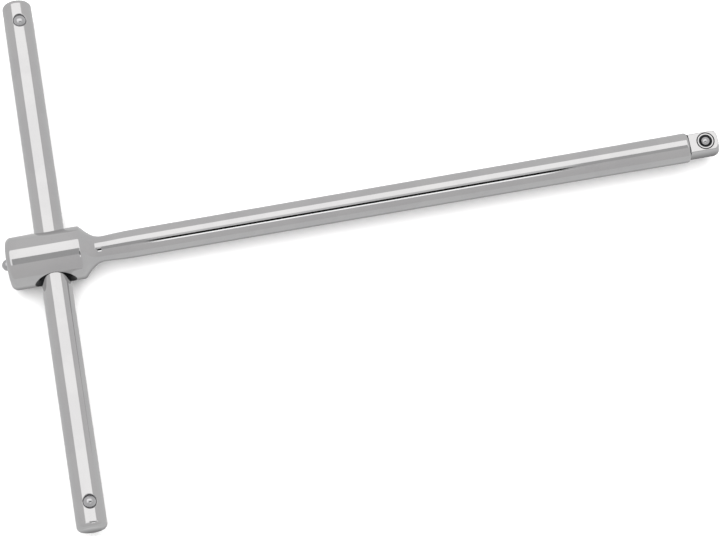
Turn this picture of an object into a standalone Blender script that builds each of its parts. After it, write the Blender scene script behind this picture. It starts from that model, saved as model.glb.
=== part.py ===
"""Sliding T-handle driver with a 3/8 in. male square, modelled from its separate pieces.

A forged shank (hub, shaft and square in one) carries a round cross bar that slides and turns in the
hub. A sprung ball in the square holds a socket, one near each end of the bar stops it at the hub,
and one inside the hub grips the bar. A domed plug in the hub's end shuts that last one in.

Frame: metres, origin at the centre of the square's end face. +X points out of the square, along the
shank; +Y runs along the cross bar; +Z is the side that the drive ball looks out of.
Sizes below are in millimetres and turned into metres by MM as each mesh is made. Places along the
shank are measured from the cross bar's axis, away from the hub's end.
"""

import math

import bmesh
import bpy
from mathutils import Vector

MM = 0.001

# Shank
HUB_END = -20.85
HUB_RADIUS = 12.5
HUB_END_ROUND = 3.0
HUB_CORNER_ROUND = 1.2
TAPER_ANGLE = 47.0
TAPER_FILLET = 16.0
CREASE_PLACE = 20.4
CREASE_ANGLES = (28.5, 23.5)
NECK_RADIUS = 6.05
NECK_FILLET = 7.75
FLARE = 0.54
FLARE_LENGTH = 7.5
SHAFT_TAPER = 0.0011
END_FLARE = 0.15
END_FLARE_LENGTH = 25.0
SHAFT_STATIONS = (2.0, 4.0, 6.0, 8.5, 11.0, 14.0, 19.0, 40.0, 230.0, 245.0, 258.0, 269.0)
SHOULDER = 303.6
SHOULDER_ROUND = 1.3

# Drive square
TIP = 317.7
SQUARE = 9.525
SQUARE_CORNER_ROUND = 0.4
TIP_DISC_RADIUS = 3.4
TIP_ROUND = 3.3

# Cross bar
BAR_RADIUS = 7.0
BAR_HALF = 132.9
BAR_END_ROUND = 2.35
BAR_TURN = 10.0
BORE_RADIUS = 7.2
MOUTH_DEPTH = 2.2
MOUTH_RADIUS = 10.0

# Balls, and how far each centre lies from the middle of the piece that holds it
DRIVE_BALL_RADIUS = 2.381
DRIVE_BALL_PLACE = 311.55
DRIVE_BALL_HEIGHT = 3.68
BAR_BALL_RADIUS = 3.175
BAR_BALL_PLACE = 121.3
BAR_BALL_HEIGHT = 5.03
FRICTION_BALL_RADIUS = 3.0
FRICTION_BALL_PLACE = -10.1

# Plug in the hub's end: a flange that the hub's edge is peened over, and a domed stem
PLUG_FLANGE = (-18.55, -19.75)
PLUG_FLANGE_RADIUS = 3.35
PLUG_STEM_RADIUS = 2.7
PLUG_DOME_PLACE = -21.25

# Holes for the balls and springs
DRIVE_HOLE_RADIUS = 2.55
DRIVE_HOLE_FLOOR = -3.4
DRIVE_LIP_RADIUS = 2.4
STAKE_RADIUS = 3.1
STAKE_DEPTH = 0.48
STAKE_RING_RADIUS = 4.05
STAKE_RING_WIDTH = 0.22
STAKE_RING_DEPTH = 0.18
BAR_HOLE_RADIUS = 3.4
BAR_HOLE_FLOOR = -3.8
BAR_LIP_RADIUS = 3.08
HUB_HOLE_RADIUS = 3.45
HUB_MOUTH_LIP = 2.8
HUB_BORE_LIP = 2.75

# Springs: coil radius to the wire's middle, wire radius, turns
DRIVE_SPRING = (1.5, 0.22, 5)
BAR_SPRING = (2.1, 0.3, 5)
HUB_SPRING = (2.1, 0.3, 4)
SPRING_CLEARANCE = 0.1

ROUND_STEPS = 40
HOLE_STEPS = 32
BALL_STEPS = 20
COIL_STEPS = 12
OVERRUN = 2.0


def material(name, colour, roughness):
    """A metal of one colour and polish."""
    made = bpy.data.materials.new(name)
    made.use_nodes = True
    shader = made.node_tree.nodes["Principled BSDF"]
    shader.inputs["Base Color"].default_value = (*colour, 1.0)
    shader.inputs["Metallic"].default_value = 1.0
    shader.inputs["Roughness"].default_value = roughness
    return made


def arc(centre, radius, first, last, steps=5):
    """Points on an arc in the plane of an outline, with angles in degrees from its axis."""
    angles = [math.radians(first + (last - first) * i / steps) for i in range(steps + 1)]
    return [(centre[0] + radius * math.cos(a), centre[1] + radius * math.sin(a)) for a in angles]


def along(axis, place, out, turn):
    """The point `place` along an axis and `out` from it, `turn` radians round it."""
    side, up = out * math.cos(turn), out * math.sin(turn)
    point = {"X": (place, side, up), "Y": (up, place, side), "Z": (side, up, place)}[axis]
    return Vector(point) * MM


def turned(name, outline, axis, steps=ROUND_STEPS, ring=False):
    """A body of revolution. Its outline is (place, radius) pairs, from axis to axis unless it is a ring."""
    bm = bmesh.new()
    points = [bm.verts.new(along(axis, place, radius, 0.0)) for place, radius in outline]
    pairs = list(zip(points, points[1:]))
    if ring:
        pairs.append((points[-1], points[0]))
    edges = [bm.edges.new(pair) for pair in pairs]
    spin_axis = Vector([float(axis == letter) for letter in "XYZ"])
    bmesh.ops.spin(
        bm, geom=points + edges, cent=(0, 0, 0), axis=spin_axis, angle=math.tau, steps=steps, use_merge=True
    )
    bmesh.ops.remove_doubles(bm, verts=bm.verts, dist=1e-7)
    bmesh.ops.recalc_face_normals(bm, faces=bm.faces)
    mesh = bpy.data.meshes.new(name)
    bm.to_mesh(mesh)
    bm.free()
    return mesh


def placed(name, mesh, location=(0, 0, 0), parent=None, surface=None):
    """An object of the model, its location in millimetres in its parent's frame."""
    piece = bpy.data.objects.new(name, mesh)
    bpy.context.collection.objects.link(piece)
    piece.location = Vector(location) * MM
    piece.parent = parent
    if surface is not None:
        mesh.materials.append(surface)
        mesh.shade_smooth()
        mesh.set_sharp_from_angle(angle=math.radians(30))
    return piece


def helper(name, mesh, location=(0, 0, 0), parent=None):
    """A shape that only serves a Boolean."""
    tool = placed(name, mesh, location, parent)
    tool.hide_render = True
    tool.display_type = "WIRE"
    return tool


def boolean(piece, operation, tool):
    cut = piece.modifiers.new(tool.name, "BOOLEAN")
    cut.operation = operation
    cut.object = tool
    cut.solver = "EXACT"


def empty(name, location, turn=(0, 0, 0)):
    frame = bpy.data.objects.new(name, None)
    bpy.context.collection.objects.link(frame)
    frame.location = Vector(location) * MM
    frame.rotation_euler = [math.radians(a) for a in turn]
    return frame


NECK_PLACE = CREASE_PLACE + NECK_FILLET * math.sin(math.radians(CREASE_ANGLES[1]))


def shaft_radius(past):
    """The shaft `past` the neck's start: a bell-shaped flare at each end and a slight taper all the way."""
    left = SHOULDER - SHOULDER_ROUND - NECK_PLACE - past
    flare = FLARE * (1 - math.exp(-((past / FLARE_LENGTH) ** 2)))
    return NECK_RADIUS + flare + SHAFT_TAPER * past + END_FLARE * math.exp(-((left / END_FLARE_LENGTH) ** 2))


def shank_outline():
    """Hub, taper, neck and shaft, from the hub's end to the shoulder behind the square.

    The taper runs into a wide fillet, which meets the neck's own fillet in a slight crease.
    """
    into, out_of = CREASE_ANGLES
    crease_radius = NECK_RADIUS + NECK_FILLET * (1 - math.cos(math.radians(out_of)))
    turn_in = math.radians(into)
    centre = (CREASE_PLACE + TAPER_FILLET * math.sin(turn_in), crease_radius + TAPER_FILLET * math.cos(turn_in))
    fillet = arc(centre, TAPER_FILLET, 270 - TAPER_ANGLE, 270 - into, 5)
    normal = 90.0 - TAPER_ANGLE
    corner_radius = HUB_RADIUS - HUB_CORNER_ROUND
    taper_top = corner_radius + HUB_CORNER_ROUND * math.sin(math.radians(normal))
    taper_length = (taper_top - fillet[0][1]) / math.tan(math.radians(TAPER_ANGLE))
    corner_place = fillet[0][0] - taper_length - HUB_CORNER_ROUND * math.cos(math.radians(normal))
    hub = [(HUB_END, 0.0)]
    hub += arc((HUB_END + HUB_END_ROUND, HUB_RADIUS - HUB_END_ROUND), HUB_END_ROUND, 180, 90)
    hub += arc((corner_place, corner_radius), HUB_CORNER_ROUND, 90, normal, 2)
    neck = arc((NECK_PLACE, NECK_RADIUS + NECK_FILLET), NECK_FILLET, 270 - out_of, 270, 3)
    shaft = [(NECK_PLACE + past, shaft_radius(past)) for past in SHAFT_STATIONS]
    end_place = SHOULDER - SHOULDER_ROUND
    end_radius = shaft_radius(end_place - NECK_PLACE) - SHOULDER_ROUND
    end = arc((end_place, end_radius), SHOULDER_ROUND, 90, 0) + [(SHOULDER, 0.0)]
    return hub + fillet[:-1] + neck + shaft + end


def square_tool(parent):
    """The drive square, with its corners and its tip rounded."""
    length = TIP - SHOULDER + 2 * OVERRUN
    bm = bmesh.new()
    bmesh.ops.create_cube(bm, size=1.0)
    bmesh.ops.scale(bm, vec=Vector((length, SQUARE, SQUARE)) * MM, verts=bm.verts)
    long_edges = [e for e in bm.edges if abs(e.verts[0].co.x - e.verts[1].co.x) > 0.5 * length * MM]
    bmesh.ops.bevel(
        bm, geom=long_edges, offset=SQUARE_CORNER_ROUND * MM, segments=3, profile=0.5, affect="EDGES"
    )
    mesh = bpy.data.meshes.new("square_shape")
    bm.to_mesh(mesh)
    bm.free()
    square = helper("square_shape", mesh, (TIP - length / 2, 0, 0), parent)
    back = SHOULDER - 3 * OVERRUN
    outline = [(back, 0.0), (back, TIP_DISC_RADIUS + TIP_ROUND)]
    outline += arc((TIP - TIP_ROUND, TIP_DISC_RADIUS), TIP_ROUND, 90, 0, 6) + [(TIP, 0.0)]
    boolean(square, "INTERSECT", helper("tip_shape", turned("tip_shape", outline, "X"), parent=parent))
    return square


def cross_bore():
    """The hole for the bar, opening out to a cone at each mouth. The cones run on past the hub."""
    slope = (MOUTH_RADIUS - BORE_RADIUS) / MOUTH_DEPTH
    inner = HUB_RADIUS - MOUTH_DEPTH
    outer = HUB_RADIUS + OVERRUN
    wide = BORE_RADIUS + slope * (outer - inner)
    half = [(inner, BORE_RADIUS), (outer, wide), (outer, 0.0)]
    return turned("cross_bore", [(-y, r) for y, r in reversed(half)] + half, "Y")


def hub_hole():
    """From the hub's end to the bore: a lip at one end keeps the plug in, and one at the other the ball."""
    lip_start = FRICTION_BALL_PLACE + 0.8
    outline = [(HUB_END - OVERRUN, 0.0), (HUB_END - OVERRUN, HUB_MOUTH_LIP), (HUB_END + 0.65, HUB_MOUTH_LIP)]
    outline += [(HUB_END + 0.9, HUB_HOLE_RADIUS), (lip_start, HUB_HOLE_RADIUS)]
    outline += [(lip_start + 0.6, HUB_BORE_LIP), (-BAR_RADIUS + OVERRUN, HUB_BORE_LIP)]
    outline += [(-BAR_RADIUS + OVERRUN, 0.0)]
    return turned("hub_hole", outline, "X", HOLE_STEPS)


def drive_hole():
    """The drive ball's hole: a lip at the top of it, at the foot of the recess left by staking."""
    lip = SQUARE / 2 - STAKE_DEPTH
    outline = [(DRIVE_HOLE_FLOOR, 0.0), (DRIVE_HOLE_FLOOR, DRIVE_HOLE_RADIUS)]
    outline += [(lip - 0.4, DRIVE_HOLE_RADIUS), (lip - 0.08, DRIVE_LIP_RADIUS), (lip, DRIVE_LIP_RADIUS)]
    outline += [(lip, STAKE_RADIUS), (SQUARE, STAKE_RADIUS), (SQUARE, 0.0)]
    return turned("drive_hole", outline, "Z", HOLE_STEPS)


def stake_ring():
    """The fine groove that the staking tool's rim leaves round the recess."""
    inner = STAKE_RING_RADIUS - STAKE_RING_WIDTH / 2
    outer = STAKE_RING_RADIUS + STAKE_RING_WIDTH / 2
    floor = SQUARE / 2 - STAKE_RING_DEPTH
    outline = [(floor, inner), (floor, outer), (SQUARE, outer), (SQUARE, inner)]
    return turned("stake_ring", outline, "Z", ring=True)


def bar_hole():
    """A bar ball's hole, with its lip a little under the bar's surface."""
    lip = BAR_BALL_HEIGHT + 1.07
    outline = [(BAR_HOLE_FLOOR, 0.0), (BAR_HOLE_FLOOR, BAR_HOLE_RADIUS)]
    outline += [(BAR_BALL_HEIGHT + 0.4, BAR_HOLE_RADIUS), (lip, BAR_LIP_RADIUS)]
    outline += [(BAR_RADIUS + 0.2, BAR_HOLE_RADIUS), (BAR_RADIUS + OVERRUN, BAR_HOLE_RADIUS)]
    outline += [(BAR_RADIUS + OVERRUN, 0.0)]
    return turned("bar_hole", outline, "Z", HOLE_STEPS)


def bar_outline():
    corner = (BAR_HALF - BAR_END_ROUND, BAR_RADIUS - BAR_END_ROUND)
    half = arc(corner, BAR_END_ROUND, 90, 0) + [(BAR_HALF, 0.0)]
    return [(-y, r) for y, r in reversed(half)] + half


def ball(name, radius):
    outline = arc((0, 0), radius, 180, 0, BALL_STEPS // 2)
    outline[0], outline[-1] = (-radius, 0.0), (radius, 0.0)
    return turned(name, outline, "Z", BALL_STEPS)


def plug_outline():
    """Flange, stem and dome, from the flange's inner face to the top of the dome."""
    inner, outer = PLUG_FLANGE
    outline = [(inner, 0.0), (inner, PLUG_FLANGE_RADIUS)]
    outline += [(outer, PLUG_FLANGE_RADIUS), (outer, PLUG_STEM_RADIUS)]
    dome = arc((PLUG_DOME_PLACE, 0.0), PLUG_STEM_RADIUS, 90, 180, 6)
    return outline + dome[:-1] + [(PLUG_DOME_PLACE - PLUG_STEM_RADIUS, 0.0)]


def spring(name, first, last, size, axis):
    """A coil between two places on an axis, measured to the middle of its wire at each end."""
    coil, wire, turns = size
    count = turns * COIL_STEPS + 1
    curve = bpy.data.curves.new(name, "CURVE")
    curve.dimensions = "3D"
    curve.bevel_depth = wire * MM
    curve.bevel_resolution = 1
    curve.use_fill_caps = True
    line = curve.splines.new("POLY")
    line.points.add(count - 1)
    for i, point in enumerate(line.points):
        share = i / (count - 1)
        place = first + (last - first) * share
        point.co = (*along(axis, place, coil, math.tau * turns * share), 1.0)
    return curve


def seat(ball_radius, size):
    """How far from a ball's centre the end turn of a spring lies that bears on it."""
    coil, wire, _ = size
    return math.sqrt((ball_radius + wire) ** 2 - coil**2) + SPRING_CLEARANCE


def coil_piece(name, curve, surface, location, parent):
    made = bpy.data.objects.new(name, curve)
    bpy.context.collection.objects.link(made)
    curve.materials.append(surface)
    made.location = Vector(location) * MM
    made.parent = parent
    return made


for old in list(bpy.data.objects):
    bpy.data.objects.remove(old, do_unlink=True)

chrome = material("polished_chrome", (0.62, 0.62, 0.63), 0.08)
bearing_steel = material("bearing_steel", (0.55, 0.55, 0.56), 0.12)
spring_steel = material("spring_steel", (0.32, 0.31, 0.30), 0.35)

# The shank, with its own frame on the bar's axis
shank_frame = empty("shank_frame", (-TIP, 0, 0))
shank = placed("shank", turned("shank", shank_outline(), "X"), parent=shank_frame, surface=chrome)
boolean(shank, "UNION", square_tool(shank_frame))
boolean(shank, "DIFFERENCE", helper("cross_bore", cross_bore(), parent=shank_frame))
boolean(shank, "DIFFERENCE", helper("hub_hole", hub_hole(), parent=shank_frame))
drive_place = (DRIVE_BALL_PLACE, 0, 0)
boolean(shank, "DIFFERENCE", helper("drive_hole", drive_hole(), drive_place, shank_frame))
boolean(shank, "DIFFERENCE", helper("stake_ring", stake_ring(), drive_place, shank_frame))

# The cross bar, turned a little in the bore, with a ball and a spring near each end
bar_frame = empty("bar_frame", (-TIP, 0, 0), (0, BAR_TURN, 0))
t_bar = placed("t_bar", turned("t_bar", bar_outline(), "Y"), parent=bar_frame, surface=chrome)
bar_spring_ends = (
    BAR_HOLE_FLOOR + BAR_SPRING[1] + SPRING_CLEARANCE,
    BAR_BALL_HEIGHT - seat(BAR_BALL_RADIUS, BAR_SPRING),
)
for end, side in (("upper", 1), ("lower", -1)):
    middle = side * BAR_BALL_PLACE
    boolean(t_bar, "DIFFERENCE", helper(f"{end}_hole", bar_hole(), (0, middle, 0), bar_frame))
    centre = (0, middle, BAR_BALL_HEIGHT)
    ball_mesh = ball(f"{end}_detent_ball", BAR_BALL_RADIUS)
    placed(f"{end}_detent_ball", ball_mesh, centre, bar_frame, bearing_steel)
    coil_curve = spring(f"{end}_detent_spring", *bar_spring_ends, BAR_SPRING, "Z")
    coil_piece(f"{end}_detent_spring", coil_curve, spring_steel, (0, middle, 0), bar_frame)

# The drive ball and its spring
drive_centre = (DRIVE_BALL_PLACE, 0, DRIVE_BALL_HEIGHT)
drive_mesh = ball("drive_detent_ball", DRIVE_BALL_RADIUS)
placed("drive_detent_ball", drive_mesh, drive_centre, shank_frame, bearing_steel)
drive_spring_ends = (
    DRIVE_HOLE_FLOOR + DRIVE_SPRING[1] + SPRING_CLEARANCE,
    DRIVE_BALL_HEIGHT - seat(DRIVE_BALL_RADIUS, DRIVE_SPRING),
)
drive_curve = spring("drive_detent_spring", *drive_spring_ends, DRIVE_SPRING, "Z")
coil_piece("drive_detent_spring", drive_curve, spring_steel, drive_place, shank_frame)

# Inside the hub: the ball that grips the bar, its spring, and the plug that closes the hole
grip_mesh = ball("hub_friction_ball", FRICTION_BALL_RADIUS)
placed("hub_friction_ball", grip_mesh, (FRICTION_BALL_PLACE, 0, 0), shank_frame, bearing_steel)
plug_mesh = turned("hub_plug", plug_outline(), "X", HOLE_STEPS)
placed("hub_plug", plug_mesh, parent=shank_frame, surface=bearing_steel)
hub_spring_ends = (
    PLUG_FLANGE[0] + HUB_SPRING[1] + SPRING_CLEARANCE,
    FRICTION_BALL_PLACE - seat(FRICTION_BALL_RADIUS, HUB_SPRING),
)
hub_curve = spring("hub_friction_spring", *hub_spring_ends, HUB_SPRING, "X")
coil_piece("hub_friction_spring", hub_curve, spring_steel, (0, 0, 0), shank_frame)
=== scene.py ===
# %% [markdown]
# # A sliding T-handle wrench in polished chrome
#
# The real tool is a forged shank with a drive square at one end and a cross-bored hub at the other.
# A round bar slides through the hub, and four steel balls on coil springs hold things in place.
# A CAD model already fixes every size, so the first step loads it as a frame. Everything after that
# works in metres, in the same coordinates: +X out of the drive square, +Y along the bar, +Z up.

# %% Load the frame
import math

import bpy
import numpy as np
from mathutils import Matrix, Vector


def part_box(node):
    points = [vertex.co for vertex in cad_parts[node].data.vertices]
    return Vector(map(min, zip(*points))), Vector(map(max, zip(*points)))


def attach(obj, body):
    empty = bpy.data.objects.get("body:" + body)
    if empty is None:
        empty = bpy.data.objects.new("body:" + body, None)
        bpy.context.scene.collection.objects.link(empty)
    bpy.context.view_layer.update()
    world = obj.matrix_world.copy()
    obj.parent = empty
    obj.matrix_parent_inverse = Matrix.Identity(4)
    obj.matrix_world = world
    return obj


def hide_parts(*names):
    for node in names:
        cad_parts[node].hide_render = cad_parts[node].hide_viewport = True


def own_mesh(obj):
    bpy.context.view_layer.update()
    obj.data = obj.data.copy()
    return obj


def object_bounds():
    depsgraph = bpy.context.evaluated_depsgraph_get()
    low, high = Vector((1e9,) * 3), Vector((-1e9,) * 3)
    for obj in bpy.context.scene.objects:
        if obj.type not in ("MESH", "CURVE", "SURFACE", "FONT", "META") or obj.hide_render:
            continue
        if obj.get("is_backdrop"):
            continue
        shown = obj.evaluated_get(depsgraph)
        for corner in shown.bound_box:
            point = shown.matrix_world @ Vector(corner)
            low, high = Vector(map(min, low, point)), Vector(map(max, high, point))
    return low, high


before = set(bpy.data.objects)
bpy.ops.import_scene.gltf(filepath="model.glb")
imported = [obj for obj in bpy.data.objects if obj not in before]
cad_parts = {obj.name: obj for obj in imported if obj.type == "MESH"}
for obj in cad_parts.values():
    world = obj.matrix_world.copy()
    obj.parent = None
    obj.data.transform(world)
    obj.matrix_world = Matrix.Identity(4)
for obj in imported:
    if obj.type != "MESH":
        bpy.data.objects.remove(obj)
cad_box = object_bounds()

print("CAD nodes:", ", ".join(sorted(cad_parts)))

# %% [markdown]
# ## The places that everything is measured from
#
# A maker's drawing dimensions from the bar's axis, in millimetres, so the script does too, and turns
# them into metres when a mesh is made. The frame says where that axis lies: half-way across the bar.

# %% Driving dimensions
MM = 0.001

bar_low, bar_high = (np.array(corner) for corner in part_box("t_bar"))
shank_low, shank_high = (np.array(corner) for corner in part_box("shank"))
BAR_AXIS = np.array([(bar_low[0] + bar_high[0]) / 2, 0.0, 0.0])
TIP = (shank_high[0] - BAR_AXIS[0]) / MM
HUB_END = (shank_low[0] - BAR_AXIS[0]) / MM
BAR_HALF = bar_high[1] / MM
HUB_RADIUS = 12.5
HUB_END_ROUND = 3.0
HUB_CORNER_ROUND = 1.2
TAPER_ANGLE = 47.0
TAPER_FILLET = 16.0
CREASE_PLACE = 20.4
CREASE_ANGLES = (28.5, 23.5)
NECK_RADIUS = 6.05
NECK_FILLET = 7.75
FLARE = 0.54
FLARE_LENGTH = 7.5
SHAFT_TAPER = 0.0011
END_FLARE = 0.15
END_FLARE_LENGTH = 25.0
SHOULDER = TIP - 14.1
SHOULDER_ROUND = 1.3
SQUARE_HALF = 4.7625
SQUARE_CORNER_ROUND = 0.4
TIP_DISC_RADIUS = 3.4
TIP_ROUND = 3.3
BAR_RADIUS = 7.0
BAR_END_ROUND = 2.35
BAR_TURN = 10.0
BORE_RADIUS = 7.2
MOUTH_DEPTH = 2.2
MOUTH_RADIUS = 10.0
EDGE_BREAK = 0.12
PEENED_EDGE = 0.32
ROOT_SHADE_WIDTH = 0.42
DRIVE_BALL_PLACE = 311.55
DRIVE_BALL_HEIGHT = 3.68
DRIVE_BALL_RADIUS = 2.381
BAR_BALL_PLACE = 121.3
BAR_BALL_HEIGHT = 5.03
BALL_RADIUS = 3.175
FRICTION_BALL_RADIUS = 3.0
FRICTION_BALL_PLACE = -10.1
PLUG_FLANGE = (-18.55, -19.75)
PLUG_FLANGE_RADIUS = 3.35
PLUG_STEM_RADIUS = 2.7
PLUG_DOME_PLACE = -21.25
print(f"tip {TIP:.1f} mm and hub end {HUB_END:.1f} mm from the bar's axis, bar +-{BAR_HALF:.1f} mm")

# %% [markdown]
# ## Camera
#
# The tool is seen from high up on the -Y side, with a long lens, so the near end of the bar looks a
# little larger than the far end. A camera is a place, a direction and a roll. Its up vector leans,
# and that roll of about ten degrees is what sends the shank up towards the right.

# %% Camera
CAMERA_PLACE = Vector((-0.2306, -0.4225, 1.0757))
CAMERA_FORWARD = Vector((0.0464, 0.3413, -0.9388)).normalized()
CAMERA_UP = Vector((0.1714, 0.9232, 0.3441))
LENS = 123.0

camera = bpy.data.objects.new("camera", bpy.data.cameras.new("camera"))
bpy.context.scene.collection.objects.link(camera)
right = CAMERA_FORWARD.cross(CAMERA_UP).normalized()
up = right.cross(CAMERA_FORWARD)
turn = Matrix((right, up, -CAMERA_FORWARD)).transposed().to_4x4()
camera.matrix_world = Matrix.Translation(CAMERA_PLACE) @ turn
camera.data.lens = LENS
camera.data.sensor_width = 36.0
camera.data.clip_start = 0.01
bpy.context.scene.camera = camera
print(f"camera {CAMERA_PLACE.length:.2f} m from the drive square's end, lens {LENS} mm")

# %% [markdown]
# ## Studio
#
# Polished chrome has no colour of its own. It shows the room, so the room is the finish. Here it is a
# mid-grey room, a little lighter at the back than at the front, with one wide soft box overhead, which
# lays the long pale band on every round piece.

# %% Room and lights
FRONT_LEVEL = 0.65
BACK_LEVEL = 0.74
SOFT_BOX_LEVEL = 0.66
VIEW_TRANSFORM = "Standard"

scene = bpy.context.scene
scene.view_settings.view_transform = VIEW_TRANSFORM
room = bpy.data.worlds.new("grey_room")
room.use_nodes = True
scene.world = room
nodes, links = room.node_tree.nodes, room.node_tree.links
room_light = nodes["Background"]
room_light.inputs["Color"].default_value = (1.0, 0.99, 0.99, 1.0)
towards = nodes.new("ShaderNodeTexCoord").outputs["Generated"]
split = nodes.new("ShaderNodeSeparateXYZ")
fade = nodes.new("ShaderNodeMapRange")
links.new(towards, split.inputs[0])
links.new(split.outputs["Y"], fade.inputs["Value"])
levels = (("From Min", -1.0), ("From Max", 0.8), ("To Min", FRONT_LEVEL), ("To Max", BACK_LEVEL))
for label, value in levels:
    fade.inputs[label].default_value = value
links.new(fade.outputs["Result"], room_light.inputs["Strength"])
print(f"room: brightness {FRONT_LEVEL} at the front to {BACK_LEVEL} at the back")

# %% Soft box and floor light


def area_light(name, place, aim, size, level, colour=(1.0, 1.0, 1.0)):
    """A rectangular light of a stated brightness: its power is brightness times pi times its area."""
    data = bpy.data.lights.new(name, "AREA")
    data.shape = "RECTANGLE"
    data.size, data.size_y = size
    data.energy = level * math.pi * size[0] * size[1]
    data.color = colour
    lamp = bpy.data.objects.new(name, data)
    scene.collection.objects.link(lamp)
    direction = Vector(aim) - Vector(place)
    lamp.location = place
    lamp.rotation_euler = direction.to_track_quat("-Z", "Y").to_euler()
    lamp.visible_camera = False
    print(f"{name}: {size[0]:.2f} x {size[1]:.2f} m, {direction.length:.2f} m away")
    return lamp


LENS_LEAN = math.degrees(math.atan2(CAMERA_PLACE.y, CAMERA_PLACE.z))


def overhead(degrees, height):
    """How far over in Y a line from the shank meets a height, leaning `degrees` past the lens."""
    return height * math.tan(math.radians(LENS_LEAN + degrees))


BOX_HEIGHT = 0.60
BOX_DEPTH = (overhead(21.0, BOX_HEIGHT), overhead(62.0, BOX_HEIGHT))
BOX_WIDTH = (-0.46, 0.59)
box_centre = (BAR_AXIS[0] + sum(BOX_WIDTH) / 2, sum(BOX_DEPTH) / 2, BOX_HEIGHT)
area_light(
    "soft_box",
    box_centre,
    (box_centre[0], box_centre[1], 0.0),
    (BOX_WIDTH[1] - BOX_WIDTH[0], BOX_DEPTH[1] - BOX_DEPTH[0]),
    SOFT_BOX_LEVEL,
    (1.0, 0.992, 0.985),
)
floor_fill = area_light("floor_fill", (-0.15, 0.1, 1.6), (-0.15, 0.1, 0.0), (2.4, 2.4), 2.6)
floor_fill.visible_glossy = False

# %% [markdown]
# ## Cards that only the metal sees
#
# Cards hung beside the lens draw lines on a shiny tool. The long dark card with a pale edge draws the
# thin dark line beside the shank's band. Grey cards past its two ends darken what the hub and the
# square show there, and a pale one lies outside each of those.

# %% Cards
CARD_HEIGHT = 0.50
LINE_WIDTH = (0.026, 0.317)


def card(name, points, level):
    """A flat card, given by its corners, that only the metal sees, as bright as stated."""
    mesh = bpy.data.meshes.new(name)
    mesh.from_pydata(np.asarray(points, float).tolist(), [], [(0, 3, 2, 1)])
    paint = bpy.data.materials.new(name)
    paint.use_nodes = True
    paint.node_tree.nodes.clear()
    glow = paint.node_tree.nodes.new("ShaderNodeEmission")
    glow.inputs["Color"].default_value = (level, level, level, 1.0)
    output = paint.node_tree.nodes.new("ShaderNodeOutputMaterial")
    paint.node_tree.links.new(glow.outputs["Emission"], output.inputs["Surface"])
    mesh.materials.append(paint)
    made = bpy.data.objects.new(name, mesh)
    scene.collection.objects.link(made)
    made.visible_camera = made.visible_diffuse = made.visible_shadow = False
    made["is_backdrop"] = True
    print(f"{name}: brightness {level}")


def card_above(name, width, lean, level):
    """A level card over the tool, between two places in X and two leans, in degrees past the lens."""
    low, high = overhead(lean[0], CARD_HEIGHT), overhead(lean[1], CARD_HEIGHT)
    x = BAR_AXIS[0] + np.array([width[0], width[1], width[1], width[0]])
    card(name, np.column_stack([x, [low, low, high, high], np.full(4, CARD_HEIGHT)]), level)


card_above("dark_card", LINE_WIDTH, (-9.6, 6.2), 0.01)
card_above("pale_edge", LINE_WIDTH, (-18.5, -9.6), 1.7)
card_above("pale_gap", LINE_WIDTH, (6.2, 21.0), 0.80)
card_above("grey_card_by_hub", (-0.085, LINE_WIDTH[0]), (-4.3, 21.0), 0.50)
card_above("grey_card_by_tip", (LINE_WIDTH[1], 0.48), (-2.0, 21.0), 0.54)
card_above("pale_end_by_hub", (-0.40, -0.085), (-4.3, 21.0), 1.25)
card_above("pale_end_by_tip", (0.48, 0.70), (2.0, 21.0), 1.25)

# %% [markdown]
# ## Floor
#
# The floor is a plain pale sheet to the eye. In the metal it counts as part of the grey room, as when
# a shiny tool lies on a small sheet in a large dim room. The metal sees it darker where it is near,
# because there the tool itself keeps the light off.

# %% Floor
FLOOR_SIZE = 6.0
floor_level = float(shank_low[2]) - 0.0002
floor_mesh = bpy.data.meshes.new("floor")
reach = FLOOR_SIZE / 2
corners = [(x * reach, y * reach, floor_level) for x, y in ((-1, -1), (1, -1), (1, 1), (-1, 1))]
floor_mesh.from_pydata(corners, [], [(0, 1, 2, 3)])
floor = bpy.data.objects.new("floor", floor_mesh)
scene.collection.objects.link(floor)

# %% The floor's paint
NEAR, FAR = 0.008, 0.019
NEAR_LEVEL, FAR_LEVEL = 0.28, 0.72
floor_paint = bpy.data.materials.new("pale_floor")
floor_paint.use_nodes = True
nodes, links = floor_paint.node_tree.nodes, floor_paint.node_tree.links
pale = nodes["Principled BSDF"]
pale.inputs["Base Color"].default_value = (0.93, 0.93, 0.93, 1.0)
pale.inputs["Roughness"].default_value = 0.9
pale.inputs["Specular IOR Level"].default_value = 0.0
seen_in_metal = nodes.new("ShaderNodeEmission")
seen_in_metal.inputs["Color"].default_value = (1.0, 1.0, 1.0, 1.0)
paths = nodes.new("ShaderNodeLightPath")
under = nodes.new("ShaderNodeMapRange")
under.interpolation_type = "SMOOTHSTEP"
levels = (("From Min", NEAR), ("From Max", FAR), ("To Min", NEAR_LEVEL), ("To Max", FAR_LEVEL))
for label, value in levels:
    under.inputs[label].default_value = value
links.new(paths.outputs["Ray Length"], under.inputs["Value"])
links.new(under.outputs["Result"], seen_in_metal.inputs["Strength"])
choose = nodes.new("ShaderNodeMixShader")
links.new(paths.outputs["Is Glossy Ray"], choose.inputs["Fac"])
links.new(pale.outputs["BSDF"], choose.inputs[1])
links.new(seen_in_metal.outputs["Emission"], choose.inputs[2])
links.new(choose.outputs["Shader"], nodes["Material Output"].inputs["Surface"])
floor_mesh.materials.append(floor_paint)
floor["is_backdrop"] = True
print(f"floor {floor_level / MM:.1f} mm under the shank's axis")

# %% [markdown]
# ## Surfaces as patches
#
# A mirror finish shows every facet, so each surface here is worked out exactly. All of the tool's
# round surfaces are turned ones: a profile carried round an axis. A patch is a grid of points on such
# a surface with the true normal at each point. Patches that meet share the same points along their
# border, and each keeps its own normals there, so an edge stays crisp and a curve stays smooth.

# %% Turned surfaces


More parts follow.
